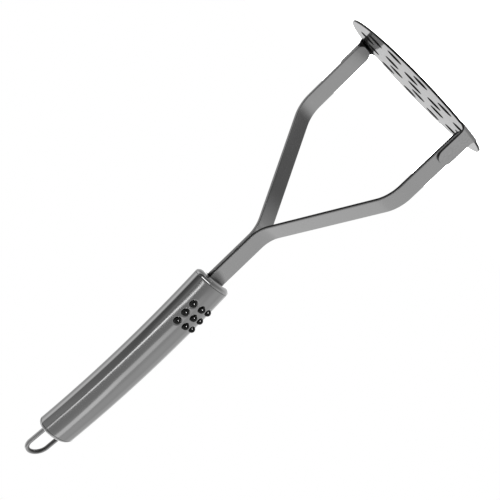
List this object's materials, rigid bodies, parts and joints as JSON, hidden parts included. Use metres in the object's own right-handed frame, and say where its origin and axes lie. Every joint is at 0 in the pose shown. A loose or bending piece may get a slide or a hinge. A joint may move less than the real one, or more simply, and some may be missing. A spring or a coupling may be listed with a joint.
{
  "type": "potato masher",
  "caption": "Hand masher: a pierced round plate on two bent strap arms, a hollow oval steel handle with soft grip nubs, and a wire hanging loop.",
  "frame": {"origin": "centre of the round plate's underside", "axes": "+Z from the plate up the handle, X across the two arms with the grip nubs on the +X side, Y across the width of the straps and of the oval handle"},
  "size_m": [0.0896, 0.085, 0.2672],
  "materials": {
    "polished_steel": "polished stainless steel, with fine polishing lines along the handle",
    "satin_steel": "satin stainless steel, grained along each strap and wire",
    "black_rubber": "smooth glossy black rubber",
    "filler_plastic": "plain moulded plastic, hidden inside the handle"
  },
  "bodies": {
    "root": {"masher_plate": "polished_steel", "arm_left": "satin_steel", "arm_right": "satin_steel", "handle_shell": "polished_steel", "front_cap": "polished_steel", "rear_cap": "polished_steel", "tang_block": "filler_plastic", "hanging_loop": "satin_steel", "loop_anchor": "filler_plastic", "grip_nub_1": "black_rubber", "grip_nub_2": "black_rubber", "grip_nub_3": "black_rubber", "grip_nub_4": "black_rubber", "grip_nub_5": "black_rubber", "grip_nub_6": "black_rubber", "grip_nub_7": "black_rubber", "grip_nub_8": "black_rubber", "grip_nub_9": "black_rubber"}
  },
  "joints": []
}
